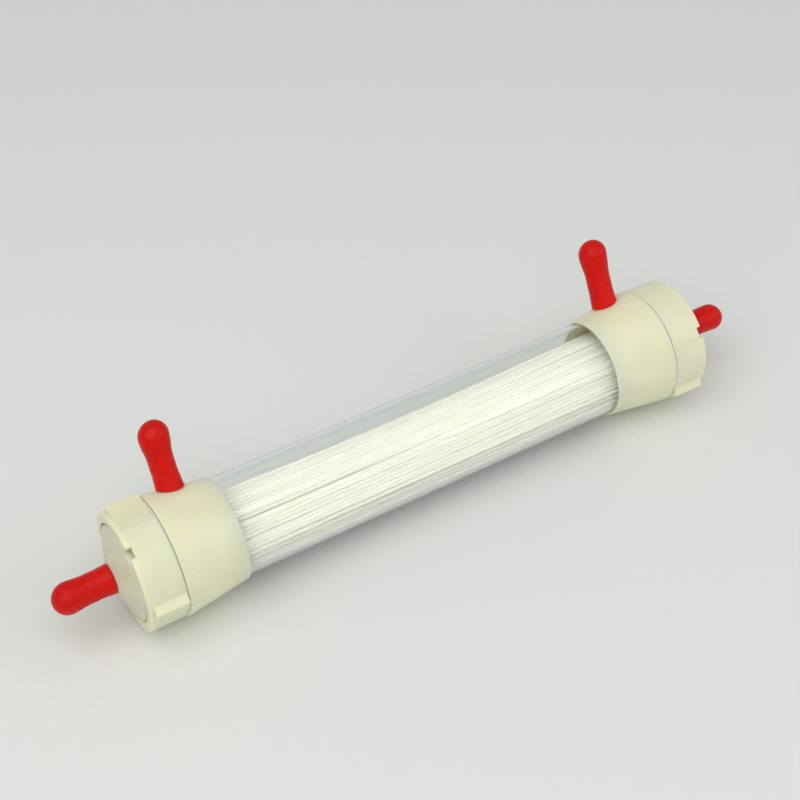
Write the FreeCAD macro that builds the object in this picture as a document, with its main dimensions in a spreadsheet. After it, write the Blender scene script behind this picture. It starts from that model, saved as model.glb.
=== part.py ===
import FreeCAD, Part
import math
import os
import re
import Sketcher

# Hollow fiber membrane module, lying on its side.
# The origin is the middle of the clear tube's axis. +X runs along the tube to the right,
# +Y points away from the viewer and +Z up. The two ends mirror each other, apart from their end caps
# and how far their nuts are turned.

os.makedirs("parts", exist_ok=True)
doc = FreeCAD.newDocument("hollow_fiber_module")
dims = doc.addObject("Spreadsheet::Sheet", "dims")

# Driving dimensions, in millimetres and degrees
SIZES = {
    "whole module": {
        "module_length": 308.3,
    },
    "clear tube": {
        "tube_diameter": 40.8,
        "tube_wall": 2.0,
    },
    "tee body, from its rim outwards": {
        "tee_length": 27.4,
        "rim_diameter": 42.4,
        "seam_diameter": 50.0,
        "socket_depth": 6.0,
        "rim_round": 0.5,
        "seam_round": 0.8,
        "chamber_diameter": 39.2,
        "chamber_length": 14.0,
        "spigot_diameter": 44.0,
        "spigot_length": 8.6,
        "side_port_place": 15.5,
        "side_port_reach": 48.0,
        "side_port_lean": 33.4,
    },
    "hose barbs": {
        "barb_ridges": 3,
        "side_root_diameter": 6.6,
        "side_ridge_diameter": 7.6,
        "side_bore_diameter": 4.4,
        "side_ridge_pitch": 4.0,
        "side_tip_margin": 1.5,
    },
    "fibre bundle": {
        "fibre_diameter": 2.0,
        "fibre_pitch": 2.1,
        "bundle_diameter": 32.4,
    },
    "end gasket": {
        "gasket_thickness": 0.9,
        "gasket_inner_diameter": 39.4,
        "gasket_outer_diameter": 43.6,
    },
    "end port": {
        "flange_diameter": 43.6,
        "flange_thickness": 3.9,
        "boss_diameter": 39.2,
        "boss_height": 2.6,
        "dome_height": 4.7,
        "hub_diameter": 13.2,
        "boss_round": 0.8,
        "hub_round": 0.8,
        "header_diameter": 36.4,
        "header_side": 2.5,
        "header_depth": 8.9,
        "end_port_reach": 20.0,
        "end_root_diameter": 7.6,
        "end_ridge_diameter": 8.8,
        "end_bore_diameter": 5.4,
        "end_ridge_pitch": 4.2,
        "end_tip_margin": 1.6,
    },
    "union nut": {
        "nut_diameter": 48.8,
        "nut_shoulder": 2.5,
        "nut_opening": 41.2,
        "nut_round": 1.0,
        "lug_count": 2,
        "lug_spacing": 120.0,
        "lug_height": 2.8,
        "lug_start": 0.5,
        "lug_length": 13.3,
        "lug_flat_span": 38.0,
        "lug_flank_width": 3.6,
        "lug_round": 0.6,
        "notch_width": 4.6,
        "notch_depth": 2.2,
        "notch_count": 3,
        "notch_turn": 60.0,
        "left_nut_turn": -87.5,
        "right_nut_turn": 128.5,
    },
    "pull-off caps": {
        "side_cap_length": 30.1,
        "side_cap_base": 11.2,
        "side_cap_waist": 10.3,
        "side_cap_bulb": 11.5,
        "side_cap_flare": 9.0,
        "side_cap_neck": 6.0,
        "left_end_cap_length": 23.9,
        "right_end_cap_length": 22.7,
        "end_cap_base": 11.9,
        "end_cap_waist": 10.9,
        "left_end_cap_bulb": 12.8,
        "right_end_cap_bulb": 11.3,
        "end_cap_flare": 6.0,
        "end_cap_neck": 6.0,
        "cap_end_wall": 1.8,
        "cap_tip_flat": 1.4,
    },
    "clearances": {
        "bond_gap": 0.05,
        "thread_gap": 0.05,
        "seat_gap": 0.05,
        "seam_gap": 0.3,
        "cap_gap": 0.05,
        "side_cap_seat_gap": 0.3,
    },
}

MATH_WORDS = ("sqrt", "sin", "cos", "tan")
SAME_PLACE = 1e-4


def fill_sheet():
    """Writes each dimension on a row of its own, with its name as the alias of the value's cell."""
    row = 1
    for group, entries in SIZES.items():
        dims.set(f"A{row}", group)
        row += 1
        for alias, number in entries.items():
            dims.set(f"A{row}", alias.replace("_", " "))
            dims.set(f"B{row}", str(number))
            dims.setAlias(f"B{row}", alias)
            row += 1
    doc.recompute()


def bound(formula):
    """The formula with each dimension's name pointing into the sheet."""
    return re.sub(r"[a-z][a-z_]+", lambda word: word[0] if word[0] in MATH_WORDS else "dims." + word[0], formula)


def value(formula):
    """The formula's present value."""
    return float(dims.evalExpression(bound(formula)))


def bind(feature, prop, formula):
    feature.setExpression(prop, bound(formula))


def new_body(node):
    body = doc.addObject("PartDesign::Body", node)
    body.Label = node
    return body


def new_sketch(body, name, plane_role):
    """A sketch on one of the body's own origin planes."""
    sketch = body.newObject("Sketcher::SketchObject", name)
    plane = next(f for f in body.Origin.OriginFeatures if f.Role == plane_role)
    sketch.AttachmentSupport = (plane, "")
    sketch.MapMode = "FlatFace"
    return sketch


def hold(sketch, line, direction, formula):
    """Fixes one coordinate of a line's first end to the sketch's origin by a formula."""
    axis = {"DistanceX": -2, "DistanceY": -1}[direction]
    if formula == "0":
        sketch.addConstraint(Sketcher.Constraint("PointOnObject", line, 1, axis))
        return
    ends = (-1, 1, line, 1)
    if formula.startswith("-"):
        formula = formula[1:]
        ends = (line, 1, -1, 1)
    index = sketch.addConstraint(Sketcher.Constraint(direction, *ends, value(formula)))
    bind(sketch, f"Constraints[{index}]", formula)


def signed(formula):
    if formula.startswith("-"):
        return -value(formula[1:])
    return value(formula)


def outline(sketch, corners):
    """A closed outline of straight lines. Each corner is a pair of formulas."""
    points = [FreeCAD.Vector(signed(across), signed(along), 0) for across, along in corners]
    for start, end in zip(points, points[1:] + points[:1]):
        sketch.addGeometry(Part.LineSegment(start, end), False)
    for line, (across, along) in enumerate(corners):
        sketch.addConstraint(Sketcher.Constraint("Coincident", line, 2, (line + 1) % len(corners), 1))
        hold(sketch, line, "DistanceX", across)
        hold(sketch, line, "DistanceY", along)


def turned(body, name, corners):
    """A revolution about the body's own Z axis. Corners are (radius, height) formulas."""
    sketch = new_sketch(body, name + "_outline", "XZ_Plane")
    outline(sketch, corners)
    turning = body.newObject("PartDesign::Revolution", name)
    turning.Profile = sketch
    turning.ReferenceAxis = (sketch, ["V_Axis"])
    turning.Angle = 360
    sketch.Visibility = False
    doc.recompute()
    return turning


def ring_edges(feature, radius, height):
    """Names of the feature's circular edges about its Z axis with that radius at that height."""
    found = []
    for index, edge in enumerate(feature.Shape.Edges, start=1):
        if not isinstance(edge.Curve, Part.Circle):
            continue
        centre = edge.Curve.Center
        off_axis = math.hypot(centre.x, centre.y)
        off_size = abs(edge.Curve.Radius - value(radius))
        off_level = abs(centre.z - value(height))
        if max(off_axis, off_size, off_level) < SAME_PLACE:
            found.append(f"Edge{index}")
    return found


def dressed(body, kind, name, feature, edges, prop, formula):
    """A fillet or chamfer on the named edges of a feature, its size held by a formula."""
    dressing = body.newObject("PartDesign::" + kind, name)
    dressing.Base = (feature, edges)
    setattr(dressing, prop, value(formula))
    bind(dressing, prop, formula)
    doc.recompute()
    return dressing


def facing_out(side, turn):
    """Rotation that points a part's Z out of the module at that end, and its X up and back by turn degrees."""
    lean = math.radians(turn)
    across = FreeCAD.Vector(0, math.sin(lean), math.cos(lean))
    out = FreeCAD.Vector(side, 0, 0)
    return FreeCAD.Rotation(across, out.cross(across), out, "ZXY")


def seat(body, side, turn, distance):
    """Puts a part's own origin on the axis at that distance from the middle."""
    body.Placement = FreeCAD.Placement(FreeCAD.Vector(side * value(distance), 0, 0), facing_out(side, turn))
    bind(body, "Placement.Base.x", distance if side > 0 else f"-1 * ({distance})")
    doc.recompute()


# Places along the axis, measured from the middle of the tube
TEE_STACK = "(tee_length + spigot_length + gasket_thickness + seat_gap)"
PORT_STACK = "(flange_thickness + boss_height + dome_height + end_port_reach)"
RIM = f"(module_length / 2 - {TEE_STACK} - {PORT_STACK})"
TUBE_END = RIM + " + socket_depth - seat_gap"
SEAM = RIM + " + tee_length"
SPIGOT_END = SEAM + " + spigot_length"
POTTING_INNER = RIM + " + socket_depth + chamber_length"
FLANGE_BACK = SPIGOT_END + " + gasket_thickness + seat_gap"
NUT_BACK = SEAM + " + seam_gap"
SHOULDER = FLANGE_BACK + " + flange_thickness + seat_gap"
DOME_TOP = FLANGE_BACK + " + flange_thickness + boss_height + dome_height"


def housing_tube():
    """Clear tube between the tee bodies, with both ends in their sockets."""
    body = new_body("housing_tube")
    sketch = new_sketch(body, "tube_section", "YZ_Plane")
    for radius in ("tube_diameter / 2", "tube_diameter / 2 - tube_wall"):
        circle = Part.Circle(FreeCAD.Vector(0, 0, 0), FreeCAD.Vector(0, 0, 1), value(radius))
        ring = sketch.addGeometry(circle, False)
        sketch.addConstraint(Sketcher.Constraint("Coincident", ring, 3, -1, 1))
        index = sketch.addConstraint(Sketcher.Constraint("Radius", ring, value(radius)))
        bind(sketch, f"Constraints[{index}]", radius)
    pad = body.newObject("PartDesign::Pad", "tube_length")
    pad.Profile = sketch
    pad.Midplane = True
    bind(pad, "Length", f"2 * ({TUBE_END})")
    doc.recompute()
    return body


def fibre_rows():
    """Centres (y, z) of the fibres: a hexagonal packing inside a round bundle, let down to the tube's floor."""
    pitch = value("fibre_pitch")
    reach = value("bundle_diameter / 2 - fibre_diameter / 2")
    row_height = pitch * math.sqrt(3) / 2
    steps = math.ceil(reach / row_height)
    centres = []
    for row in range(-steps, steps + 1):
        shift = (row % 2) * pitch / 2
        for column in range(-steps - 1, steps + 2):
            across = column * pitch + shift
            up = row * row_height
            if math.hypot(across, up) <= reach:
                centres.append((across, up))
    wall = value("tube_diameter / 2 - tube_wall - fibre_diameter / 2 - bond_gap")
    drop = min(up + math.sqrt(wall * wall - across * across) for across, up in centres)
    return [(across, up - drop) for across, up in centres]


def fibre_bundle():
    """Straight hollow fibre strands, drawn as separate rods from one potting to the other."""
    half = value(POTTING_INNER)
    radius = value("fibre_diameter / 2")
    out = FreeCAD.Vector(1, 0, 0)
    rods = [
        Part.makeCylinder(radius, 2 * half, FreeCAD.Vector(-half, y, z), out)
        for y, z in fibre_rows()
    ]
    bundle = doc.addObject("Part::Feature", "fibre_bundle")
    bundle.Label = "fibre_bundle"
    bundle.Shape = Part.makeCompound(rods)
    return bundle


def barb_corners(base, tip, root, ridge, bore, pitch, margin):
    """Outside corners of a hose barb along its axis: a few ridges, each with its step towards the base."""
    corners = []
    for ridge_number in range(int(value("barb_ridges")), 0, -1):
        step = f"{tip} - {margin} - {ridge_number} * {pitch} + {pitch} / 2"
        corners.append((f"{root} / 2", step))
        corners.append((f"{ridge} / 2", step))
        corners.append((f"{root} / 2", f"{step} + {pitch} / 2"))
    corners.append((f"{root} / 2", f"{tip} - ({root} - {bore}) / 8"))
    corners.append((f"{root} / 2 - ({root} - {bore}) / 8", tip))
    return [(f"{root} / 2", base)] + corners


def tee_body(side_name, side):
    """Conical end housing: tube socket, flow chamber, potting seat, spigot for the nut and a barbed side port."""
    body = new_body(side_name + "_tee_body")
    chamber = "chamber_diameter / 2"
    spigot_top = "tee_length + spigot_length"
    shell = turned(body, "shell", [
        ("tube_diameter / 2 + bond_gap", "0"),
        ("rim_diameter / 2", "0"),
        ("seam_diameter / 2", "tee_length"),
        ("spigot_diameter / 2", "tee_length"),
        ("spigot_diameter / 2", spigot_top),
        (chamber, spigot_top),
        (chamber, "socket_depth"),
        ("tube_diameter / 2 + bond_gap", "socket_depth"),
    ])
    rim = ring_edges(shell, "rim_diameter / 2", "0")
    shell = dressed(body, "Fillet", "rim_round", shell, rim, "Radius", "rim_round")
    seam = ring_edges(shell, "seam_diameter / 2", "tee_length")
    dressed(body, "Fillet", "seam_round", shell, seam, "Radius", "seam_round")

    # The barb stands on the port's own axis, the sketch's horizontal one
    stem_start = "chamber_diameter / 2 + (rim_diameter - chamber_diameter) / 4"
    stem_corners = barb_corners(stem_start, "side_port_reach", "side_root_diameter", "side_ridge_diameter",
                                "side_bore_diameter", "side_ridge_pitch", "side_tip_margin")
    sketch = new_sketch(body, "side_port_outline", "XZ_Plane")
    sketch.AttachmentOffset = FreeCAD.Placement(FreeCAD.Vector(0, value("side_port_place"), 0), FreeCAD.Rotation())
    bind(sketch, "AttachmentOffset.Base.y", "side_port_place")
    corners = [(along, out) for out, along in stem_corners]
    outline(sketch, [(stem_start, "0")] + corners + [("side_port_reach", "0")])
    stem = body.newObject("PartDesign::Revolution", "side_port")
    stem.Profile = sketch
    stem.ReferenceAxis = (sketch, ["H_Axis"])
    stem.Angle = 360
    doc.recompute()

    sketch = new_sketch(body, "side_bore_outline", "XZ_Plane")
    sketch.AttachmentOffset = FreeCAD.Placement(FreeCAD.Vector(0, value("side_port_place"), 0), FreeCAD.Rotation())
    bind(sketch, "AttachmentOffset.Base.y", "side_port_place")
    bore = "side_bore_diameter / 2"
    inside = "chamber_diameter / 4"
    outside = "side_port_reach + side_tip_margin"
    outline(sketch, [(inside, "0"), (inside, bore), (outside, bore), (outside, "0")])
    drilling = body.newObject("PartDesign::Groove", "side_bore")
    drilling.Profile = sketch
    drilling.ReferenceAxis = (sketch, ["H_Axis"])
    drilling.Angle = 360
    doc.recompute()
    seat(body, side, value("side_port_lean"), RIM)
    return body


def potting(side_name, side):
    """Resin disc that seals the fibre ends into the tee body, flush with the end of its spigot."""
    body = new_body(side_name + "_potting")
    radius = "chamber_diameter / 2 - bond_gap"
    thickness = f"{SPIGOT_END} - ({POTTING_INNER})"
    turned(body, "disc", [("0", "0"), (radius, "0"), (radius, thickness), ("0", thickness)])
    seat(body, side, 0, POTTING_INNER)
    return body


def end_gasket(side_name, side):
    """Flat ring between the spigot's end and the flange of the end port."""
    body = new_body(side_name + "_end_gasket")
    inner = "gasket_inner_diameter / 2"
    outer = "gasket_outer_diameter / 2"
    turned(body, "ring", [(inner, "0"), (outer, "0"), (outer, "gasket_thickness"), (inner, "gasket_thickness")])
    seat(body, side, 0, SPIGOT_END)
    return body


def end_port(side_name, side):
    """Flange, domed front and barb in one moulding, hollowed behind into a header for the fibre ends."""
    body = new_body(side_name + "_end_port")
    boss_top = "flange_thickness + boss_height"
    hub_top = boss_top + " + dome_height"
    tip = hub_top + " + end_port_reach"
    barb = barb_corners(hub_top, tip, "end_root_diameter", "end_ridge_diameter",
                        "end_bore_diameter", "end_ridge_pitch", "end_tip_margin")
    moulding = turned(body, "moulding", [
        ("header_diameter / 2", "0"),
        ("flange_diameter / 2", "0"),
        ("flange_diameter / 2", "flange_thickness"),
        ("boss_diameter / 2", "flange_thickness"),
        ("boss_diameter / 2", boss_top),
        ("hub_diameter / 2", hub_top),
    ] + barb + [
        ("end_bore_diameter / 2", tip),
        ("end_bore_diameter / 2", "header_depth"),
        ("header_diameter / 2", "header_side"),
    ])
    boss = ring_edges(moulding, "boss_diameter / 2", boss_top)
    moulding = dressed(body, "Fillet", "boss_round", moulding, boss, "Radius", "boss_round")
    hub = ring_edges(moulding, "hub_diameter / 2", hub_top)
    dressed(body, "Fillet", "hub_round", moulding, hub, "Radius", "hub_round")
    seat(body, side, 0, FLANGE_BACK)
    return body


def union_nut(side_name, side):
    """Threaded ring that clamps the end port's flange: two grip lugs outside, three notches in the front rim."""
    body = new_body(side_name + "_union_nut")
    length = f"{SHOULDER} + nut_shoulder - ({NUT_BACK})"
    shoulder = f"{SHOULDER} - ({NUT_BACK})"
    thread = "spigot_diameter / 2 + thread_gap"
    opening = "nut_opening / 2"
    ring = turned(body, "ring", [
        (thread, "0"),
        ("nut_diameter / 2", "0"),
        ("nut_diameter / 2", length),
        (opening, length),
        (opening, shoulder),
        (thread, shoulder),
    ])
    front = ring_edges(ring, "nut_diameter / 2", length)
    dressed(body, "Fillet", "front_round", ring, front, "Radius", "nut_round")
    grip_lugs(body, side, f"(nut_diameter / 4 + ({thread}) / 2)")
    notched = rim_notches(body, side, length)
    dressed(body, "Fillet", "lug_round", notched, ridge_edges(notched), "Radius", "lug_round")
    seat(body, side, value(side_name + "_nut_turn"), NUT_BACK)
    return body


def lug_sketch(body, name, corners):
    """An outline across the nut's axis, at the height where the lugs start."""
    sketch = new_sketch(body, name, "XY_Plane")
    sketch.AttachmentOffset = FreeCAD.Placement(FreeCAD.Vector(0, 0, value("lug_start")), FreeCAD.Rotation())
    bind(sketch, "AttachmentOffset.Base.z", "lug_start")
    outline(sketch, corners)
    return sketch


def behind_ridge(side, radius, share):
    """Corner at a radius, turned back from the ridge by a share of the flat's span."""
    back = "-" if side < 0 else ""
    return (f"{radius} * cos(lug_flat_span * {share})", f"{back}{radius} * sin(lug_flat_span * {share})")


def round_the_nut(body, name, features, sketch, side, count):
    """Copies of the features about the nut's axis. The two nuts are each other's mirror image."""
    pattern = body.newObject("PartDesign::PolarPattern", name)
    pattern.Originals = features
    pattern.Axis = (sketch, ["N_Axis"])
    pattern.Reversed = side > 0
    bind(pattern, "Angle", f"lug_spacing * ({count} - 1)")
    bind(pattern, "Occurrences", count)
    body.Tip = pattern
    doc.recompute()
    return pattern


def grip_lugs(body, side, inside_wall):
    """Ratchet-shaped lugs: a flat rises from the ring to a ridge, and a short flank falls back from it."""
    ridge = "(nut_diameter / 2 + lug_height)"
    foot = behind_ridge(side, "nut_diameter / 2", "1")
    flank_width = "lug_flank_width" if side < 0 else "-lug_flank_width"
    section = lug_sketch(body, "lug_section", [
        (ridge, "0"),
        (inside_wall, flank_width),
        behind_ridge(side, inside_wall, "1 / 2"),
        behind_ridge(side, inside_wall, "1"),
        foot,
    ])
    lug = body.newObject("PartDesign::Pad", "lug")
    lug.Profile = section
    bind(lug, "Length", "lug_length")
    doc.recompute()

    # The flat dips a little below the ring's round, which leaves a crease at its foot
    clear = f"({ridge} + lug_height)"
    above = lug_sketch(body, "above_flat", [(ridge, "0"), foot, behind_ridge(side, ridge, "1"), (clear, "0")])
    before = body.Shape.Volume
    flat = body.newObject("PartDesign::Pocket", "flat")
    flat.Profile = above
    flat.Reversed = True
    bind(flat, "Length", "lug_length")
    doc.recompute()
    if body.Shape.Volume >= before:
        raise RuntimeError("the lug's flat cut nothing")
    round_the_nut(body, "lugs", [lug, flat], section, side, "lug_count")


def rim_notches(body, side, length):
    """Slots for a spanner in the front rim, spaced like the lugs, the first one turned from the first lug."""
    cut = new_sketch(body, "notch_outline", "XY_Plane")
    round_axis = FreeCAD.Rotation(FreeCAD.Vector(0, 0, 1), -side * value("notch_turn"))
    cut.AttachmentOffset = FreeCAD.Placement(FreeCAD.Vector(0, 0, value(length)), round_axis)
    bind(cut, "AttachmentOffset.Base.z", length)
    inner = "nut_opening / 2 - nut_round"
    outer = "nut_diameter / 2 + nut_round"
    outline(cut, [
        (inner, "-notch_width / 2"),
        (outer, "-notch_width / 2"),
        (outer, "notch_width / 2"),
        (inner, "notch_width / 2"),
    ])
    notch = body.newObject("PartDesign::Pocket", "notch")
    notch.Profile = cut
    bind(notch, "Length", "notch_depth")
    doc.recompute()
    return round_the_nut(body, "notches", [notch], cut, side, "notch_count")


def ridge_edges(feature):
    """Names of the lugs' ridge edges, the straight ones furthest from the axis."""
    reach = value("nut_diameter / 2 + lug_height")
    found = []
    for index, edge in enumerate(feature.Shape.Edges, start=1):
        ends = [vertex.Point for vertex in edge.Vertexes]
        off = [abs(math.hypot(point.x, point.y) - reach) for point in ends]
        if len(ends) == 2 and max(off) < SAME_PLACE:
            found.append(f"Edge{index}")
    return found


def pull_cap(node, kind, length, bulb, ridge):
    """Soft closed cap: flared mouth, narrow neck and rounded end, bored to grip a barb."""
    body = new_body(node)
    bore = f"{ridge} / 2 + cap_gap"
    neck_end = f"{kind}_cap_flare + {kind}_cap_neck"
    soft = turned(body, "soft_cap", [
        (bore, "0"),
        (f"{kind}_cap_base / 2", "0"),
        (f"{kind}_cap_waist / 2", f"{kind}_cap_flare"),
        (f"{kind}_cap_waist / 2", neck_end),
        (f"{bulb} / 2", f"{length} - {bulb} / 2"),
        (f"{bulb} / 2", length),
        ("0", length),
        ("0", f"{length} - cap_end_wall"),
        (bore, f"{length} - cap_end_wall"),
    ])
    tip = ring_edges(soft, f"{bulb} / 2", length)
    dressed(body, "Fillet", "cap_tip", soft, tip, "Radius", f"({bulb} - cap_tip_flat) / 2")
    return body


def end_port_cap(side_name, side):
    """Sits over the end port, its mouth against the hub."""
    length = side_name + "_end_cap_length"
    body = pull_cap(side_name + "_end_port_cap", "end", length, side_name + "_end_cap_bulb", "end_ridge_diameter")
    seat(body, side, 0, DOME_TOP + " + seat_gap")
    return body


def side_port_cap(side_name, side):
    """Sits over the side port, its mouth shaped to the tee body's cone."""
    body = pull_cap(side_name + "_side_port_cap", "side", "side_cap_length", "side_cap_bulb", "side_ridge_diameter")
    start = "rim_diameter / 2"
    rim_place = "-side_port_place" if side > 0 else "side_port_place"
    seam_place = "(tee_length - side_port_place)" if side > 0 else "-(tee_length - side_port_place)"
    cone = new_sketch(body, "cone_outline", "XZ_Plane")
    cone.AttachmentOffset = FreeCAD.Placement(FreeCAD.Vector(0, -value(start), 0), FreeCAD.Rotation())
    bind(cone, "AttachmentOffset.Base.y", f"-1 * {start}")
    outline(cone, [
        (rim_place, "0"),
        (rim_place, "rim_diameter / 2 + side_cap_seat_gap"),
        (seam_place, "seam_diameter / 2 + side_cap_seat_gap"),
        (seam_place, "0"),
    ])
    mouth = body.newObject("PartDesign::Groove", "shaped_mouth")
    mouth.Profile = cone
    mouth.ReferenceAxis = (cone, ["H_Axis"])
    mouth.Angle = 360
    doc.recompute()

    lean = math.radians(value("side_port_lean"))
    out = FreeCAD.Vector(0, math.sin(lean), math.cos(lean))
    place = f"{side} * ({RIM} + side_port_place)"
    base = FreeCAD.Vector(value(place), 0, 0) + out * value(start)
    along = FreeCAD.Vector(1, 0, 0)
    body.Placement = FreeCAD.Placement(base, FreeCAD.Rotation(along, out.cross(along), out, "ZXY"))
    bind(body, "Placement.Base.x", place)
    bind(body, "Placement.Base.y", f"{start} * sin(side_port_lean)")
    bind(body, "Placement.Base.z", f"{start} * cos(side_port_lean)")
    doc.recompute()
    return body


fill_sheet()
nodes = [housing_tube(), fibre_bundle()]
for name, direction in (("left", -1), ("right", 1)):
    for piece in (tee_body, potting, end_gasket, end_port, union_nut, end_port_cap, side_port_cap):
        nodes.append(piece(name, direction))
doc.recompute()

# Every object and every solid is checked before anything is written
for item in doc.Objects:
    if "Invalid" in item.State or "Error" in item.State:
        raise RuntimeError(f"{item.Label} failed: {item.State}")
for node in nodes:
    if node.Shape.isNull() or not node.Shape.isValid() or not node.Shape.Solids:
        raise RuntimeError(f"{node.Label} has no valid solid")
for node in nodes:
    node.Shape.exportStep(os.path.join("parts", node.Label + ".step"))
    box = node.Shape.BoundBox
    low = f"{box.XMin:.2f} {box.YMin:.2f} {box.ZMin:.2f}"
    high = f"{box.XMax:.2f} {box.YMax:.2f} {box.ZMax:.2f}"
    print(f"{node.Label}: {len(node.Shape.Solids)} solids, {node.Shape.Volume:.0f} mm3, {low} to {high}")
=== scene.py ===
# %% [markdown]
# # A hollow fiber membrane module, dressed for its picture
# The module is a clear tube full of thin white fibres. Each end has an ivory tee moulding, a union nut
# with grip lugs, and a hose port. Soft red caps close the four ports.
# The construction comes in as a fixed frame, already at its real size. This lesson keeps the hard
# mouldings as they are, gives each one a finish, and makes the soft and the fine pieces as new surfaces
# worked out with numpy: the caps and the fibres.

# %% Loading the frame
import math

import bpy
import numpy as np
from mathutils import Euler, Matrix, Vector


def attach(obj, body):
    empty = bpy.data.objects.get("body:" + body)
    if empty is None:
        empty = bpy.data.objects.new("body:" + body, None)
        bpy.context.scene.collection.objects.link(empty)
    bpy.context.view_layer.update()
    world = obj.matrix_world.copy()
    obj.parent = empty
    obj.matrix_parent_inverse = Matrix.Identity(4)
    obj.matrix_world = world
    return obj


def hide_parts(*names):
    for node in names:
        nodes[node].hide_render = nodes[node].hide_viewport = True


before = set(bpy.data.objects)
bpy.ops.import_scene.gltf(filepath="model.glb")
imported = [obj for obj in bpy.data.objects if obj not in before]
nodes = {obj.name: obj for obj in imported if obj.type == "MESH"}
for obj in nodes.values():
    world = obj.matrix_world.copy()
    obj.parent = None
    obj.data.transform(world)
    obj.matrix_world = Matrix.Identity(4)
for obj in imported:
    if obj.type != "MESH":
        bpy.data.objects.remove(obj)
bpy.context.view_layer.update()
MM = 0.001
SIDES = {"left": -1, "right": 1}
print("nodes in the frame:", sorted(nodes))

# %% [markdown]
# ## Where the camera stands
# The module lies on a bench and is seen from the front, from the left and from well above. The camera's
# place was found from the proportions of the picture: how much wider the near end looks than the far
# one gives the distance. A camera could also be aimed with a constraint, but a place, a heading and a
# lens are three plain facts that a reader can change, so they are written as numbers here.

# %% Camera
# Angles are in degrees, and the lens and sensor in millimetres.
CAMERA_PLACE = Vector((-239.5, -403.0, 470.0)) * MM
CAMERA_HEADING = 29.96
CAMERA_DOWN = 43.50
CAMERA_ROLL = 1.39
LENS = 73.6
SENSOR = 36.0

camera_data = bpy.data.cameras.new("camera")
camera_data.lens = LENS
camera_data.sensor_width = SENSOR
camera_data.clip_start = 10.0 * MM
camera = bpy.data.objects.new("camera", camera_data)
bpy.context.scene.collection.objects.link(camera)
camera.location = CAMERA_PLACE
turn = Euler((math.radians(90.0 - CAMERA_DOWN), 0.0, math.radians(-CAMERA_HEADING)), "XYZ")
roll = Euler((0.0, 0.0, math.radians(-CAMERA_ROLL)), "XYZ")
camera.rotation_euler = (turn.to_matrix() @ roll.to_matrix()).to_euler()
bpy.context.scene.camera = camera
print("camera looks", CAMERA_DOWN, "degrees down from", [round(c, 3) for c in CAMERA_PLACE])

# %% [markdown]
# ## Sheets of points
# Most new pieces here are a sheet of points with two directions: round and along. A sheet closes on
# itself round the piece, and an end that has shrunk to one point gets a fan of triangles. The whole
# sheet is one numpy array, so no loop visits its points. Blender's own Spin and Screw tools could make
# some of these shapes, but a formula keeps a bend or a waist exact.

# %% A mesh from a sheet of points
def sheet_faces(rows, columns):
    """Corner numbers of the quads of a grid that closes on itself across its columns.
    The corner in row r and column c has number r * columns + c."""
    row = np.arange(rows - 1)[:, None]
    column = np.arange(columns)[None, :]
    next_column = (column + 1) % columns
    corners = [row * columns + column, row * columns + next_column]
    corners += [(row + 1) * columns + next_column, (row + 1) * columns + column]
    return np.stack(corners, axis=-1).reshape(-1, 4)


def mesh_object(name, points, faces):
    """A smooth shaded object at the origin from points (n, 3) in metres and a list of faces."""
    mesh = bpy.data.meshes.new(name)
    mesh.from_pydata(points, [], faces)
    mesh.update()
    mesh.shade_smooth()
    piece = bpy.data.objects.new(name, mesh)
    bpy.context.scene.collection.objects.link(piece)
    return piece


def closed_sheet(name, grid):
    """A closed skin from a grid (rows, columns, 3) whose first and last rows are each one point.
    The inner rows become quads, and each end point becomes the middle of a fan."""
    rows, columns = grid.shape[:2]
    ring = grid[1:-1].reshape(-1, 3)
    points = np.vstack([ring, grid[0, 0], grid[-1, 0]])
    quads = sheet_faces(rows - 2, columns).tolist()
    first, last = len(ring), len(ring) + 1
    end_row = (rows - 3) * columns
    here = np.arange(columns)
    after = (here + 1) % columns
    start_fan = np.stack([after, here, np.full(columns, first)], axis=1).tolist()
    end_fan = np.stack([end_row + here, end_row + after, np.full(columns, last)], axis=1).tolist()
    return mesh_object(name, points.tolist(), quads + start_fan + end_fan)


print("a sheet of 3 rows and 4 columns has", len(sheet_faces(3, 4)), "quads")

# %% [markdown]
# ## Colours as they are written
# A picture's colours are written on a bent scale, and a shader wants them straight. The formula below
# turns a 0 to 255 value into a straight one. It leaves out the usual formula's short straight stretch
# near black, which would change a colour by less than a thousandth.

# %% Colour helper
def colour(red, green, blue):
    """Straight colour from 0 to 255 values: ((c + 0.055) / 1.055) to the power 2.4."""
    bent = np.array([red, green, blue]) / 255.0
    straight = ((bent + 0.055) / 1.055) ** 2.4
    return (*straight.tolist(), 1.0)


print("a grey of 128 is", round(colour(128, 128, 128)[0], 3), "on the straight scale")

# %% [markdown]
# ## Shared effects
# Two effects turn up in more than one finish, so each is a node group that every material can use with
# its own values. The first is what moulding leaves on plastic: a slow drift of colour where the melt
# flowed, and a very fine orange peel. The second is handling: faint smudges, which change the gloss and
# leave the colour alone.

# %% Node helpers
def new_group(name, inputs, outputs):
    """An empty shader node group with named sockets. Each socket is (name, kind, default)."""
    group = bpy.data.node_groups.new(name, "ShaderNodeTree")
    for direction, sockets in (("INPUT", inputs), ("OUTPUT", outputs)):
        for label, kind, default in sockets:
            socket = group.interface.new_socket(label, in_out=direction, socket_type="NodeSocket" + kind)
            if default is not None:
                socket.default_value = default
    return group


def add(tree, kind, **settings):
    """A node of that kind, with plain settings made as attributes."""
    node = tree.nodes.new("ShaderNode" + kind)
    for key, setting in settings.items():
        setattr(node, key, setting)
    return node


def add_io(group, kind):
    """A group's own input or output node, whose kind has no ShaderNode in front."""
    return group.nodes.new(kind)


def ramp(tree, low, high):
    """A Map Range node that turns low to high into 0 to 1."""
    node = add(tree, "MapRange")
    node.inputs["From Min"].default_value = low
    node.inputs["From Max"].default_value = high
    return node


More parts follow.
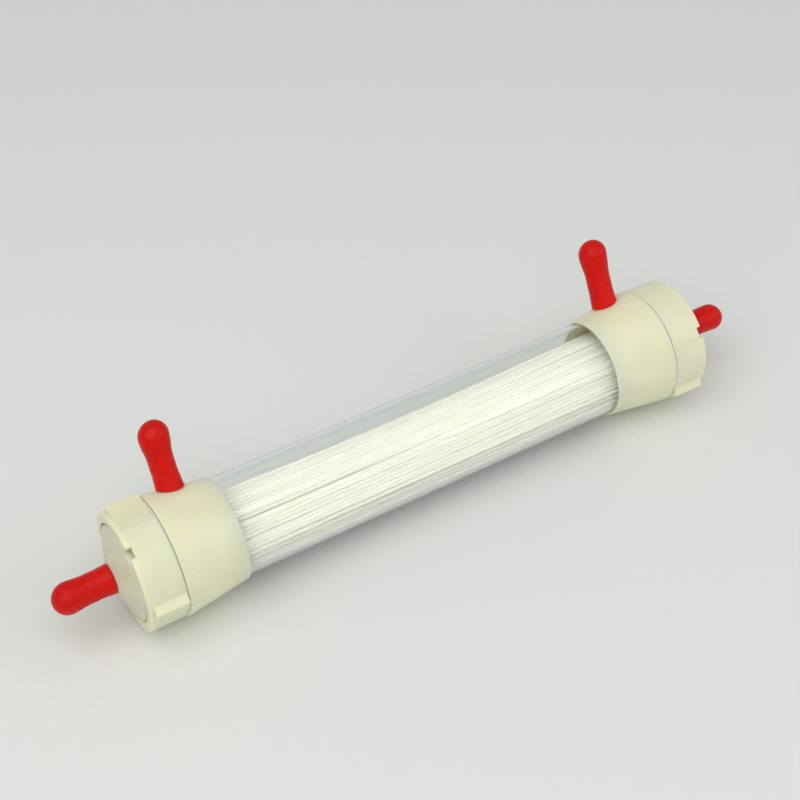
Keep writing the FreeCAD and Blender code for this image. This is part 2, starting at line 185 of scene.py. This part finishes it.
def mixed(tree, factor, first, second):
    """A colour mix of two sockets by a factor socket. Returns the result's socket."""
    node = add(tree, "Mix", data_type="RGBA")
    tree.links.new(factor, node.inputs["Factor"])
    tree.links.new(first, node.inputs["A"])
    tree.links.new(second, node.inputs["B"])
    return node.outputs["Result"]


# %% Moulding marks
def moulding_group():
    """Colour: base and flow colour mixed by slow noise. Height: orange peel from fine noise."""
    group = new_group(
        "moulding_marks",
        [("Place", "Vector", None), ("Base", "Color", None), ("Flow", "Color", None),
         ("Flow Scale", "Float", 60.0), ("Peel Scale", "Float", 900.0)],
        [("Color", "Color", None), ("Height", "Float", None)],
    )
    ins = add_io(group, "NodeGroupInput")
    outs = add_io(group, "NodeGroupOutput")
    slow = add(group, "TexNoise")
    slow.inputs["Detail"].default_value = 3.0
    slow.inputs["Distortion"].default_value = 0.6
    group.links.new(ins.outputs["Place"], slow.inputs["Vector"])
    group.links.new(ins.outputs["Flow Scale"], slow.inputs["Scale"])
    spread = ramp(group, 0.35, 0.65)
    group.links.new(slow.outputs["Fac"], spread.inputs["Value"])
    drift = mixed(group, spread.outputs["Result"], ins.outputs["Base"], ins.outputs["Flow"])
    group.links.new(drift, outs.inputs["Color"])
    fine = add(group, "TexNoise")
    fine.inputs["Detail"].default_value = 2.0
    group.links.new(ins.outputs["Place"], fine.inputs["Vector"])
    group.links.new(ins.outputs["Peel Scale"], fine.inputs["Scale"])
    group.links.new(fine.outputs["Fac"], outs.inputs["Height"])
    return group


MOULDING = moulding_group()
print("group:", MOULDING.name)

# %% Handling marks
def handling_group():
    """Roughness: a low and a high value mixed by smudges from slow noise."""
    group = new_group(
        "handling_marks",
        [("Place", "Vector", None), ("Smooth", "Float", 0.2), ("Smudged", "Float", 0.35),
         ("Smudge Scale", "Float", 45.0)],
        [("Roughness", "Float", None)],
    )
    ins = add_io(group, "NodeGroupInput")
    outs = add_io(group, "NodeGroupOutput")
    smudge = add(group, "TexNoise")
    smudge.inputs["Detail"].default_value = 5.0
    smudge.inputs["Roughness"].default_value = 0.6
    group.links.new(ins.outputs["Place"], smudge.inputs["Vector"])
    group.links.new(ins.outputs["Smudge Scale"], smudge.inputs["Scale"])
    amount = ramp(group, 0.4, 0.7)
    group.links.new(smudge.outputs["Fac"], amount.inputs["Value"])
    blend = add(group, "Mix", data_type="FLOAT")
    group.links.new(amount.outputs["Result"], blend.inputs["Factor"])
    group.links.new(ins.outputs["Smooth"], blend.inputs["A"])
    group.links.new(ins.outputs["Smudged"], blend.inputs["B"])
    group.links.new(blend.outputs["Result"], outs.inputs["Roughness"])
    return group


HANDLING = handling_group()
print("group:", HANDLING.name)

# %% [markdown]
# ## A moulded plastic finish
# The tee bodies and nuts are a warm ivory moulding with a soft gloss. A little of the light goes into
# the plastic and comes out beside where it went in, which is why its shadows look milky. Subsurface
# scattering does that. A plain diffuse shader would look like painted wood. The end ports, the potting
# and the gaskets have the same kind of finish in their own colours, so one function makes all four.

# %% Moulded plastic
def start_material(name):
    """A new node material. Returns it with its node tree and its Principled shader."""
    material = bpy.data.materials.new(name)
    material.use_nodes = True
    tree = material.node_tree
    return material, tree, tree.nodes["Principled BSDF"]


def use_group(tree, group, place, **values):
    """The group placed in a material, reading place, with its values set by name."""
    node = add(tree, "Group", node_tree=group)
    tree.links.new(place, node.inputs["Place"])
    for label, setting in values.items():
        node.inputs[label.replace("_", " ")].default_value = setting
    return node


def bump_from(tree, height, onto, strength, depth):
    """A Bump node from a height socket into the Normal of the shader onto. Depth is in metres."""
    bump = add(tree, "Bump")
    bump.inputs["Strength"].default_value = strength
    bump.inputs["Distance"].default_value = depth
    tree.links.new(height, bump.inputs["Height"])
    tree.links.new(bump.outputs["Normal"], onto.inputs["Normal"])


def moulded_plastic(name, base, flow, smooth, smudged, glow, glow_reach):
    """A moulding's material: flow marks in the colour, smudges in the gloss, orange peel in the normal."""
    material, tree, shader = start_material(name)
    place = add(tree, "TexCoord").outputs["Object"]
    marks = use_group(tree, MOULDING, place, Base=base, Flow=flow)
    touch = use_group(tree, HANDLING, place, Smooth=smooth, Smudged=smudged)
    tree.links.new(marks.outputs["Color"], shader.inputs["Base Color"])
    tree.links.new(touch.outputs["Roughness"], shader.inputs["Roughness"])
    bump_from(tree, marks.outputs["Height"], shader, strength=0.12, depth=0.2 * MM)
    shader.inputs["IOR"].default_value = 1.5
    shader.inputs["Subsurface Weight"].default_value = glow
    shader.inputs["Subsurface Radius"].default_value = (1.0, 0.8, 0.45)
    shader.inputs["Subsurface Scale"].default_value = glow_reach
    return material


IVORY = moulded_plastic(
    "ivory_moulding", base=colour(236, 233, 202), flow=colour(231, 228, 193),
    smooth=0.33, smudged=0.42, glow=0.7, glow_reach=5.0 * MM,
)
NATURAL = moulded_plastic(
    "natural_moulding", base=colour(219, 217, 191), flow=colour(211, 209, 182),
    smooth=0.3, smudged=0.4, glow=0.6, glow_reach=6.0 * MM,
)
RESIN = moulded_plastic(
    "potting_resin", base=colour(226, 216, 180), flow=colour(218, 206, 168),
    smooth=0.2, smudged=0.3, glow=0.5, glow_reach=4.0 * MM,
)
SILICONE = moulded_plastic(
    "pale_silicone", base=colour(205, 203, 192), flow=colour(198, 196, 184),
    smooth=0.5, smudged=0.6, glow=0.4, glow_reach=2.0 * MM,
)
print("moulded finishes:", [m.name for m in (IVORY, NATURAL, RESIN, SILICONE)])

# %% [markdown]
# ## A clear tube
# The housing tube is clear acrylic. Glass shaders keep lamp light from what is behind them, so the
# fibres inside would be dark. The usual answer is to let shadow rays pass: the Light Path node swaps the
# glass for a clear film when a ray goes to a lamp. Faint lengthwise draw lines and smudges keep the
# surface from looking like air.

# %% Clear acrylic
def clear_acrylic():
    """Glass: smudges in the gloss, draw lines in the normal, and shadow rays pass it as a clear film."""
    material, tree, shader = start_material("clear_acrylic")
    place = add(tree, "TexCoord").outputs["Object"]
    touch = use_group(tree, HANDLING, place, Smooth=0.015, Smudged=0.06, Smudge_Scale=30.0)
    tree.links.new(touch.outputs["Roughness"], shader.inputs["Roughness"])
    stretch = add(tree, "Mapping")
    stretch.inputs["Scale"].default_value = (0.02, 1.0, 1.0)
    tree.links.new(place, stretch.inputs["Vector"])
    lines = add(tree, "TexNoise")
    lines.inputs["Scale"].default_value = 900.0
    tree.links.new(stretch.outputs["Vector"], lines.inputs["Vector"])
    bump_from(tree, lines.outputs["Fac"], shader, strength=0.04, depth=0.2 * MM)
    shader.inputs["Base Color"].default_value = (0.97, 0.985, 0.975, 1.0)
    shader.inputs["IOR"].default_value = 1.49
    shader.inputs["Transmission Weight"].default_value = 1.0
    film = add(tree, "BsdfTransparent")
    path = add(tree, "LightPath")
    choice = add(tree, "MixShader")
    tree.links.new(path.outputs["Is Shadow Ray"], choice.inputs["Fac"])
    tree.links.new(shader.outputs["BSDF"], choice.inputs[1])
    tree.links.new(film.outputs["BSDF"], choice.inputs[2])
    tree.links.new(choice.outputs["Shader"], tree.nodes["Material Output"].inputs["Surface"])
    return material


ACRYLIC = clear_acrylic()
print("clear finish:", ACRYLIC.name)

# %% [markdown]
# ## Fibre and cap finishes
# The fibres are a white spun polymer: nearly matt, a little see-through, with a tone that changes a
# little from strand to strand. Each strand carries its own tone as a vertex attribute, so the pattern
# follows the strand. The caps are dipped vinyl: strong red and softly glossy, with faint flow marks.

# %% Fibre and vinyl
def spun_fibre():
    """White fibre: the strand's own tone in the colour, a lengthwise weave in the normal, and a glow."""
    material, tree, shader = start_material("spun_fibre")
    tone = add(tree, "Attribute", attribute_name="strand_tone")
    shade = add(tree, "ValToRGB")
    shade.color_ramp.elements[0].color = colour(215, 215, 203)
    shade.color_ramp.elements[1].color = colour(225, 225, 213)
    tree.links.new(tone.outputs["Fac"], shade.inputs["Fac"])
    tree.links.new(shade.outputs["Color"], shader.inputs["Base Color"])
    place = add(tree, "TexCoord").outputs["Object"]
    stretch = add(tree, "Mapping")
    stretch.inputs["Scale"].default_value = (0.15, 1.0, 1.0)
    tree.links.new(place, stretch.inputs["Vector"])
    weave = add(tree, "TexNoise")
    weave.inputs["Scale"].default_value = 2500.0
    tree.links.new(stretch.outputs["Vector"], weave.inputs["Vector"])
    bump_from(tree, weave.outputs["Fac"], shader, strength=0.2, depth=0.1 * MM)
    shader.inputs["Roughness"].default_value = 0.55
    shader.subsurface_method = "BURLEY"
    shader.inputs["Subsurface Weight"].default_value = 0.85
    shader.inputs["Subsurface Radius"].default_value = (1.0, 1.0, 0.95)
    shader.inputs["Subsurface Scale"].default_value = 3.0 * MM
    return material


def dipped_vinyl():
    """Red vinyl: flow marks in the colour, smudges in the gloss, orange peel in the normal, a faint glow."""
    material, tree, shader = start_material("dipped_vinyl")
    place = add(tree, "TexCoord").outputs["Object"]
    red = colour(216, 17, 0)
    dark_red = colour(202, 10, 0)
    marks = use_group(tree, MOULDING, place, Base=red, Flow=dark_red, Peel_Scale=500.0)
    touch = use_group(tree, HANDLING, place, Smooth=0.34, Smudged=0.46, Smudge_Scale=120.0)
    tree.links.new(marks.outputs["Color"], shader.inputs["Base Color"])
    tree.links.new(touch.outputs["Roughness"], shader.inputs["Roughness"])
    bump_from(tree, marks.outputs["Height"], shader, strength=0.15, depth=0.3 * MM)
    shader.inputs["IOR"].default_value = 1.46
    shader.inputs["Specular IOR Level"].default_value = 0.2
    shader.inputs["Subsurface Weight"].default_value = 0.08
    shader.inputs["Subsurface Radius"].default_value = (1.0, 0.15, 0.05)
    shader.inputs["Subsurface Scale"].default_value = 2.0 * MM
    return material


FIBRE = spun_fibre()
VINYL = dipped_vinyl()
print("soft finishes:", FIBRE.name, VINYL.name)

# %% [markdown]
# ## Smooth shading for the mouldings
# The frame's mouldings come as loose triangles, and their shape must stay as it is. A small geometry
# node modifier joins the triangles and shades them smooth, but keeps an edge sharp where two faces meet
# at a real corner. Painting the corners by hand would do the same, once for each piece.

# %% Smooth by angle
SHARP_CORNER = math.radians(9.0)
WELD = 0.001 * MM


def smoothing_group():
    """Merge by distance, then smooth faces, then sharp edges where the corner is over the limit."""
    group = bpy.data.node_groups.new("smooth_mouldings", "GeometryNodeTree")
    group.interface.new_socket("Geometry", in_out="INPUT", socket_type="NodeSocketGeometry")
    group.interface.new_socket("Geometry", in_out="OUTPUT", socket_type="NodeSocketGeometry")
    ins = group.nodes.new("NodeGroupInput")
    outs = group.nodes.new("NodeGroupOutput")
    merge = group.nodes.new("GeometryNodeMergeByDistance")
    merge.inputs["Distance"].default_value = WELD
    smooth = group.nodes.new("GeometryNodeSetShadeSmooth")
    smooth.domain = "FACE"
    corner = group.nodes.new("GeometryNodeInputMeshEdgeAngle")
    limit = group.nodes.new("FunctionNodeCompare")
    limit.data_type = "FLOAT"
    limit.operation = "GREATER_THAN"
    limit.inputs["B"].default_value = SHARP_CORNER
    sharp = group.nodes.new("GeometryNodeSetShadeSmooth")
    sharp.domain = "EDGE"
    sharp.inputs["Shade Smooth"].default_value = False
    group.links.new(ins.outputs[0], merge.inputs["Geometry"])
    group.links.new(merge.outputs["Geometry"], smooth.inputs["Geometry"])
    group.links.new(smooth.outputs["Geometry"], sharp.inputs["Geometry"])
    group.links.new(corner.outputs["Unsigned Angle"], limit.inputs["A"])
    group.links.new(limit.outputs["Result"], sharp.inputs["Selection"])
    group.links.new(sharp.outputs["Geometry"], outs.inputs[0])
    return group


SMOOTHING = smoothing_group()


def finish_node(name, material):
    """Gives a frame node its material and the smoothing modifier."""
    piece = nodes[name]
    piece.data.materials.clear()
    piece.data.materials.append(material)
    modifier = piece.modifiers.new("smooth", "NODES")
    modifier.node_group = SMOOTHING


finish_node("housing_tube", ACRYLIC)
for side in SIDES:
    finish_node(side + "_tee_body", IVORY)
    finish_node(side + "_union_nut", IVORY)
    finish_node(side + "_end_port", NATURAL)
    finish_node(side + "_potting", RESIN)
    finish_node(side + "_end_gasket", SILICONE)
print("smoothed over", round(math.degrees(SHARP_CORNER)), "degrees")

# %% [markdown]
# ## Red pull-off caps
# A cap is dipped in one go: a mould pin is lowered into liquid vinyl, so the cap has an even wall, a
# round end and a soft lip. Pushed on a barb, its waist stays narrow and its end bulges. The outside is a
# profile turned about the cap's own centre line, and the centre line can bend a little, as a rubbery
# cap does when it is pushed on by hand. A Screw modifier could turn the profile, but it would keep the
# centre line straight.

# %% Cap profile
# Shares of the cap's length: the mouth has narrowed at the first, and the swelling starts at the second.
NECK_SHARE = 0.28
SWELL_SHARE = 0.45
RIDGE_LIFT = 0.08 * MM
RIDGE_REACH = 1.3 * MM


def smooth_step(along, start, end):
    """0 before start, 1 after end, and 3 t^2 - 2 t^3 between them."""
    share = np.clip((along - start) / (end - start), 0.0, 1.0)
    return share * share * (3.0 - 2.0 * share)


def cap_radius(along, size):
    """Outside radius at a distance along the cap. The mouth narrows to the waist, the waist swells to the
    bulb, each barb ridge lifts the skin by a bell exp(-d^2), and the end is round: sqrt(1 - t^2)."""
    length, waist, bulb = size["length"], size["waist"], size["bulb"]
    flare = size["mouth"] + (waist - size["mouth"]) * smooth_step(along, 0.0, NECK_SHARE * length)
    body = flare + (bulb - waist) * smooth_step(along, SWELL_SHARE * length, length - bulb)
    for ridge in size["ridges"]:
        body = body + RIDGE_LIFT * np.exp(-((along - ridge) / RIDGE_REACH) ** 2)
    dome = np.clip((along - (length - bulb)) / bulb, 0.0, 1.0)
    return body * np.sqrt(1.0 - dome * dome)


# %% Cap section
# Lengths along the cap: the wall left at the tip, the bore's rounded end, and the rounded lip.
END_WALL = 1.8 * MM
BORE_ROUND = 2.6 * MM
LIP = 0.35 * MM
DOME_POINTS = 14
WALL_POINTS = 44
LIP_POINTS = 7
BORE_POINTS = 7


def cap_loop(size):
    """The cap's section from the tip round the mouth to the bore's end: radius, along, and whether a point
    is outside. The tip and the bore's end are quarter ovals, and the lip is a half oval."""
    quarter = np.linspace(0.0, np.pi / 2.0, DOME_POINTS)
    round_start = size["length"] - size["bulb"]
    bore_end = size["length"] - END_WALL
    tip = round_start + size["bulb"] * np.cos(quarter)
    outside = np.concatenate([tip, np.linspace(round_start, LIP, WALL_POINTS)[1:]])
    lip_turn = np.linspace(0.0, np.pi, LIP_POINTS)[1:-1]
    lip_middle = (size["mouth"] + size["bore"]) / 2.0
    lip = lip_middle + (size["mouth"] - size["bore"]) / 2.0 * np.cos(lip_turn)
    inside = np.linspace(LIP, bore_end - BORE_ROUND, BORE_POINTS)
    closing = np.linspace(0.0, np.pi / 2.0, BORE_POINTS)[1:]
    bore = np.concatenate([np.full(BORE_POINTS, size["bore"]), size["bore"] * np.cos(closing)])
    bore_along = np.concatenate([inside, inside[-1] + BORE_ROUND * np.sin(closing)])
    radius = np.concatenate([cap_radius(outside, size), lip, bore])
    along = np.concatenate([outside, LIP * (1.0 - np.sin(lip_turn)), bore_along])
    radius[[0, -1]] = 0.0
    return radius, along, np.arange(len(radius)) < len(outside)


# %% [markdown]
# ## A mouth that fits a cone
# A side cap is pushed down until its soft lip meets the tee body, which is a cone there. The lip follows
# the cone all round, so from the side it looks cut to a saddle. The height of the cone under each point of
# the lip is worked out, and the cap is stretched down to it near the mouth only. A boolean cut would leave
# a knife edge, where the real lip stays round.

# %% Tee cone
# Places are from the middle of the module, apart from the port's, which is from the tee body's rim.
RIM_PLACE = 86.0 * MM
RIM_RADIUS = 21.2 * MM
SEAM_RADIUS = 25.0 * MM
TEE_LENGTH = 27.4 * MM
PORT_PLACE = 15.5 * MM
PORT_LEAN = math.radians(33.4)
PORT_OUT = np.array([0.0, math.sin(PORT_LEAN), math.cos(PORT_LEAN)])
MOUTH_GAP = 0.1 * MM


def cone_height(outward, sideways):
    """Height of the cone over the module's axis at an offset from the port's middle: sqrt(R^2 - s^2), where
    R grows evenly from the rim's radius to the seam's."""
    rise = (SEAM_RADIUS - RIM_RADIUS) / TEE_LENGTH
    radius = RIM_RADIUS + rise * (PORT_PLACE + outward)
    return np.sqrt(radius ** 2 - sideways ** 2)


CROWN = float(cone_height(0.0, 0.0))
print("the cone is", round(CROWN / MM, 2), "mm from the axis under the side port")

# %% Making the caps
AROUND = 64
TURNS = np.linspace(0.0, 2.0 * np.pi, AROUND, endpoint=False)
SEAT_SHARE = 0.25


def soft_cap(name, base, out, size, seat=None):
    """A cap with its mouth's middle at base, pointing out. A point is base + along * out + radius *
    (cos u * across + sin u * third), and outside it also moves by bow * sin(pi s) + lean * s^2, where s is
    its share of the length. seat(right, sideways) gives how far the lip moves to meet what it sits on."""
    radius, along, outer = cap_loop(size)
    out = np.array(out)
    across = np.array([1.0, 0.0, 0.0]) if abs(out[0]) < 0.5 else np.array([0.0, 0.0, 1.0])
    third = np.cross(out, across)
    right = radius[:, None] * np.cos(TURNS)
    sideways = radius[:, None] * np.sin(TURNS)
    height = np.repeat(along[:, None], AROUND, axis=1)
    if seat is not None:
        near_mouth = 1.0 - smooth_step(along, 0.0, SEAT_SHARE * size["length"])
        height = height + seat(right, sideways) * near_mouth[:, None]
    share = along / size["length"]
    bow = np.sin(np.pi * share)[:, None] * np.array(size["bow"])
    lean = (share ** 2)[:, None] * np.array(size["lean"])
    centre = np.array(base) + outer[:, None] * (bow + lean)
    grid = centre[:, None, :] + height[:, :, None] * out
    grid = grid + right[:, :, None] * across + sideways[:, :, None] * third
    return closed_sheet(name, grid)


STRAIGHT = (0.0, 0.0, 0.0)
HUB_TOP = 134.2 * MM
END_CAP = dict(bore=4.45 * MM, bow=STRAIGHT, ridges=(7.9 * MM, 12.1 * MM))
END_CAPS = {
    "left": dict(
        END_CAP, length=24.0 * MM, mouth=6.1 * MM, waist=5.7 * MM, bulb=6.35 * MM,
        lean=(0.0, 0.0, -0.7 * MM),
    ),
    "right": dict(
        END_CAP, length=21.9 * MM, mouth=5.9 * MM, waist=5.5 * MM, bulb=5.7 * MM,
        lean=(0.0, 0.0, -0.8 * MM),
    ),
}
SIDE_CAP = dict(mouth=5.5 * MM, waist=5.1 * MM, bore=3.85 * MM, ridges=(9.2 * MM, 13.2 * MM, 17.2 * MM))
SIDE_CAPS = {
    "left": dict(SIDE_CAP, length=27.3 * MM, bulb=6.15 * MM, bow=STRAIGHT, lean=(1.2 * MM, 0.0, 0.0)),
    "right": dict(
        SIDE_CAP, length=28.2 * MM, bulb=6.0 * MM,
        bow=(0.3 * MM, 0.0, 0.0), lean=(1.6 * MM, 0.0, 0.0),
    ),
}

for side, sign in SIDES.items():
    def on_cone(right, sideways, sign=sign):
        """How far the cone, with a small gap, lies from the height of its crown."""
        return cone_height(sign * right, sideways) + MOUTH_GAP - CROWN

    cap = soft_cap(side + "_end_cap_skin", (sign * HUB_TOP, 0.0, 0.0), (sign, 0.0, 0.0), END_CAPS[side])
    cap.data.materials.append(VINYL)
    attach(cap, side + "_end_cap")
    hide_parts(side + "_end_port_cap")
    base = np.array([sign * (RIM_PLACE + PORT_PLACE), 0.0, 0.0]) + CROWN * PORT_OUT
    cap = soft_cap(side + "_side_cap_skin", base, PORT_OUT, SIDE_CAPS[side], on_cone)
    cap.data.materials.append(VINYL)
    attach(cap, side + "_side_cap")
    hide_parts(side + "_side_port_cap")
print("caps: 4, each with", AROUND, "points round")

# %% [markdown]
# ## The fibre bundle
# Hundreds of hollow fibres run from one potting disc to the other. In the middle they sag onto the
# tube's floor and pack close, and towards the ends they rise and open out a little. Curves with a bevel
# could draw them, but one numpy array for all strands is quicker and gives each strand its own small
# wander and tone. Each strand has few faces, because there are hundreds.

# %% Strand places
RNG = np.random.default_rng(23)
STRAND_RADIUS = 0.82 * MM
STRAND_PITCH = 1.42 * MM
BUNDLE_RADIUS = 15.0 * MM
SETTLED_WIDTH = 1.16
PLACE_SCATTER = 0.07 * MM


def packed_places(pitch, reach):
    """Centres of a hexagonal packing inside a circle: row r is shifted by half a pitch when r is odd."""
    steps = int(reach / pitch) + 3
    column, row = np.meshgrid(np.arange(-steps, steps + 1), np.arange(-steps, steps + 1))
    across = (column + 0.5 * (row % 2)) * pitch
    up = row * pitch * math.sqrt(3.0) / 2.0
    inside = np.hypot(across, up) <= reach
    return np.stack([across[inside], up[inside]], axis=1)


places = packed_places(STRAND_PITCH, BUNDLE_RADIUS - STRAND_RADIUS)
places = places * [SETTLED_WIDTH, 1.0] + RNG.normal(0.0, PLACE_SCATTER, places.shape)
print("strands:", len(places))

# %% Strand paths
RINGS = 15
TUBE_BORE_RADIUS = 18.4 * MM
WALL_GAP = 0.05 * MM
HALF_FIBRE = 106.0 * MM
BUNDLE_DROP = 4.3 * MM
# The step to the spread bundle would end at 1.3 half lengths, past the potting, so it is cut off part way.
SPREAD_RADIUS = 16.3 * MM
SPREAD_DROP = 3.2 * MM
SPREAD_END = 1.3
# A wander's waves along the whole tube, at least and at most, its usual size, and the power of its fading.
FEWEST_WAVES = 0.4
MOST_WAVES = 1.4
WANDER_SIZE = 0.13 * MM
WANDER_FADE = 6
NEAR_ZERO = 1e-9


def strand_paths(places):
    """Centre lines (strands, rings, 3). Across the tube a strand is at its packed place, scaled up and
    lifted towards the potting by a smooth step, and moved by a slow sine of its own, which fades out at
    the potting as 1 - s^6. A strand that would leave the bore is moved in to its wall."""
    count = len(places)
    share = np.linspace(-1.0, 1.0, RINGS)
    opened = smooth_step(np.abs(share), 0.0, SPREAD_END)
    spread = 1.0 + (SPREAD_RADIUS / BUNDLE_RADIUS - 1.0) * opened
    drop = BUNDLE_DROP + (SPREAD_DROP - BUNDLE_DROP) * opened
    phase = RNG.uniform(0.0, 2.0 * np.pi, (count, 2))
    waves = RNG.uniform(FEWEST_WAVES, MOST_WAVES, (count, 2))
    size = RNG.normal(0.0, WANDER_SIZE, (count, 2))
    calm = 1.0 - np.abs(share) ** WANDER_FADE
    angle = np.pi * share[None, :, None] * waves[:, None, :] + phase[:, None, :]
    wander = size[:, None, :] * np.sin(angle) * calm[None, :, None]
    across = places[:, None, :] * spread[None, :, None] + wander
    across[:, :, 1] -= drop[None, :]
    reach = np.hypot(across[:, :, 0], across[:, :, 1])
    limit = TUBE_BORE_RADIUS - STRAND_RADIUS - WALL_GAP
    across = across * np.minimum(1.0, limit / np.maximum(reach, NEAR_ZERO))[:, :, None]
    along = np.broadcast_to(share * HALF_FIBRE, (count, RINGS))
    return np.concatenate([along[:, :, None], across], axis=2)


paths = strand_paths(places)
print("highest strand is", round(float(paths[:, :, 2].max()) / MM, 1), "mm above the axis")

# %% Strand mesh
SIDES_OF_STRAND = 6


def strand_mesh(name, paths):
    """All strands in one mesh: at each path point a hexagon (0, cos u, sin u) * radius, with flat ends."""
    count, rings = paths.shape[:2]
    turn = np.linspace(0.0, 2.0 * np.pi, SIDES_OF_STRAND, endpoint=False)
    ring = np.stack([np.zeros_like(turn), np.cos(turn), np.sin(turn)], axis=1) * STRAND_RADIUS
    points = paths[:, :, None, :] + ring[None, None, :, :]
    quads = sheet_faces(rings, SIDES_OF_STRAND)
    step = rings * SIDES_OF_STRAND
    shift = (np.arange(count) * step)[:, None, None]
    sides = (quads[None, :, :] + shift).reshape(-1, 4)
    near_end = np.arange(SIDES_OF_STRAND)[::-1][None, :] + shift[:, :, 0]
    far_end = np.arange(SIDES_OF_STRAND)[None, :] + (step - SIDES_OF_STRAND) + shift[:, :, 0]
    faces = sides.tolist() + near_end.tolist() + far_end.tolist()
    return mesh_object(name, points.reshape(-1, 3).tolist(), faces)


bundle = strand_mesh("fibre_strands", paths)
tone = np.repeat(RNG.uniform(0.0, 1.0, len(places)), RINGS * SIDES_OF_STRAND).astype(np.float32)
tones = bundle.data.attributes.new("strand_tone", "FLOAT", "POINT")
tones.data.foreach_set("value", tone)
bundle.data.materials.append(FIBRE)
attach(bundle, "housing")
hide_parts("fibre_bundle")
print("bundle faces:", len(bundle.data.polygons))

# %% [markdown]
# ## Floor and light
# The module is shown on a plain pale floor that curves up behind it, under soft studio light. A large
# lamp overhead on the left gives the long highlight on the tube, a weaker one fills from the right, and
# a pale sky lights the rest. The lamps are large, so the shadows are soft.

# %% Floor
FLOOR_HEIGHT = -25.0 * MM
FLOOR_COLOUR = colour(226, 228, 224)
# The floor's own sizes are in metres, from the middle of the module.
FLOOR_SIDE = 3.0
FLOOR_FRONT = -2.5
SWEEP_START = 0.9
SWEEP_RADIUS = 0.5
SWEEP_POINTS = 24
WALL_TOP = 2.5


def studio_floor():
    """A floor with a swept back: flat to the sweep's start, then a quarter circle, then a wall."""
    turn = np.linspace(0.0, np.pi / 2.0, SWEEP_POINTS)
    sweep_back = SWEEP_START + SWEEP_RADIUS * np.sin(turn)
    sweep_up = SWEEP_RADIUS * (1.0 - np.cos(turn))
    back = np.concatenate([[FLOOR_FRONT], sweep_back, [SWEEP_START + SWEEP_RADIUS]])
    up = np.concatenate([[0.0], sweep_up, [WALL_TOP]]) + FLOOR_HEIGHT
    width = np.array([-FLOOR_SIDE, FLOOR_SIDE])
    points = np.stack(np.broadcast_arrays(width[None, :], back[:, None], up[:, None]), axis=-1)
    rows = len(back)
    faces = [(2 * r, 2 * r + 1, 2 * r + 3, 2 * r + 2) for r in range(rows - 1)]
    return mesh_object("studio_floor", points.reshape(-1, 3).tolist(), faces)


floor = studio_floor()
floor_material, _, floor_shader = start_material("pale_floor")
floor_shader.inputs["Base Color"].default_value = FLOOR_COLOUR
floor_shader.inputs["Roughness"].default_value = 0.6
floor.data.materials.append(floor_material)
print("floor is", round(-FLOOR_HEIGHT / MM, 1), "mm below the axis")

# %% Lamps
def soft_lamp(name, place, size, power, tint):
    """A square area lamp at place, aimed at the module's middle. Power is in watts."""
    lamp_data = bpy.data.lights.new(name, "AREA")
    lamp_data.shape = "SQUARE"
    lamp_data.size = size
    lamp_data.energy = power
    lamp_data.color = tint
    lamp = bpy.data.objects.new(name, lamp_data)
    bpy.context.scene.collection.objects.link(lamp)
    lamp.location = place
    aim = Vector((0.0, 0.0, 0.0)) - lamp.location
    lamp.rotation_euler = aim.to_track_quat("-Z", "Y").to_euler()


soft_lamp("key_lamp", place=(-0.5, -0.35, 1.1), size=1.5, power=10.8, tint=(1.0, 0.985, 0.95))
soft_lamp("fill_lamp", place=(0.9, -0.7, 0.7), size=0.9, power=2.8, tint=(0.96, 0.98, 1.0))
print("lamps:", [lamp.name for lamp in bpy.data.lights])

# %% Sky
SKY_TINT = (0.93, 0.96, 1.0, 1.0)
SKY_STRENGTH = 0.5
world = bpy.data.worlds.new("studio_sky")
world.use_nodes = True
background = world.node_tree.nodes["Background"]
background.inputs["Color"].default_value = SKY_TINT
background.inputs["Strength"].default_value = SKY_STRENGTH
bpy.context.scene.world = world
bpy.context.scene.view_settings.view_transform = "Standard"
print("sky strength:", SKY_STRENGTH)
